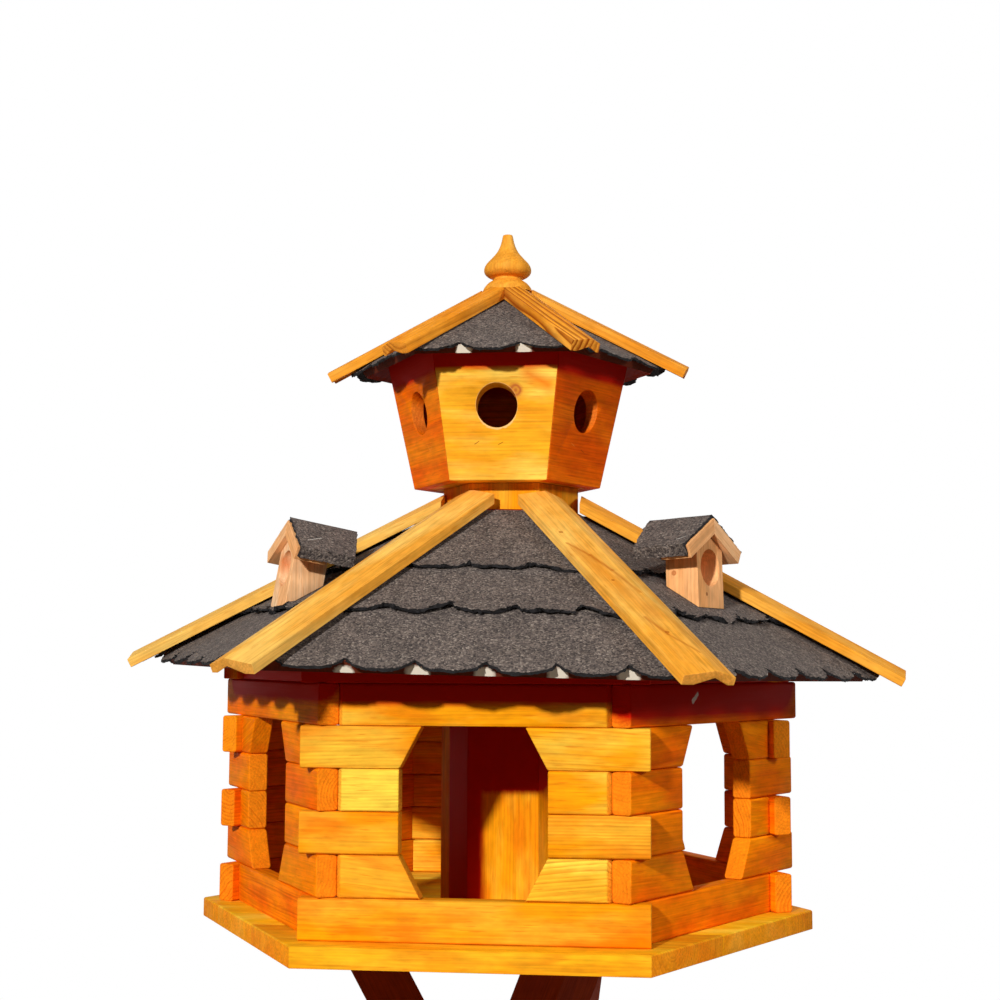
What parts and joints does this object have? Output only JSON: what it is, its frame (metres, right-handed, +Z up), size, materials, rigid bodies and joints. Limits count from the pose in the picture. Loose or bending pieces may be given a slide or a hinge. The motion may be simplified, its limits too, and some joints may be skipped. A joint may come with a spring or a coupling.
{
  "type": "hexagonal wooden bird feeder",
  "caption": "Log-walled hexagonal feeding house with a seed silo, felted roof, dormers, a dovecote under a finial, and a crossed tripod stand",
  "frame": {"origin": "on the ground, below the centre of the roof and of its hip boards' tips", "axes": "+Z up, -Y out of the front side, +X to the right seen from the front"},
  "size_m": [0.7693, 0.6948, 1.4568],
  "materials": {
    "glazed_pine": "translucent orange wood stain on planed pine",
    "stand_timber": "translucent orange-brown stain on sawn square timber",
    "pale_pine": "clear coat on pale planed pine",
    "deck_board": "thinly stained roof board",
    "mineral_felt": "charcoal mineral granules bedded in bitumen felt"
  },
  "bodies": {
    "root": {"left_leg": "stand_timber", "front_leg": "stand_timber", "back_leg": "stand_timber", "tray": "glazed_pine", "front_wall": "glazed_pine", "front_right_wall": "glazed_pine", "back_right_wall": "glazed_pine", "back_wall": "glazed_pine", "back_left_wall": "glazed_pine", "front_left_wall": "glazed_pine", "silo": "glazed_pine", "roof_deck": "deck_board", "front_felt": "mineral_felt", "front_right_felt": "mineral_felt", "back_right_felt": "mineral_felt", "back_felt": "mineral_felt", "back_left_felt": "mineral_felt", "front_left_felt": "mineral_felt", "hip_board_front_right": "glazed_pine", "hip_board_right": "glazed_pine", "hip_board_back_right": "glazed_pine", "hip_board_back_left": "glazed_pine", "hip_board_left": "glazed_pine", "hip_board_front_left": "glazed_pine", "right_dormer_body": "pale_pine", "right_dormer_roof": "pale_pine", "right_dormer_felt": "mineral_felt", "back_dormer_body": "pale_pine", "back_dormer_roof": "pale_pine", "back_dormer_felt": "mineral_felt", "left_dormer_body": "pale_pine", "left_dormer_roof": "pale_pine", "left_dormer_felt": "mineral_felt", "dovecote_front_wall": "glazed_pine", "dovecote_front_right_wall": "glazed_pine", "dovecote_back_right_wall": "glazed_pine", "dovecote_back_wall": "glazed_pine", "dovecote_back_left_wall": "glazed_pine", "dovecote_front_left_wall": "glazed_pine", "dovecote_floor": "glazed_pine", "small_roof_deck": "deck_board", "small_roof_felt": "mineral_felt", "small_hip_boards": "glazed_pine", "finial": "glazed_pine"}
  },
  "joints": []
}
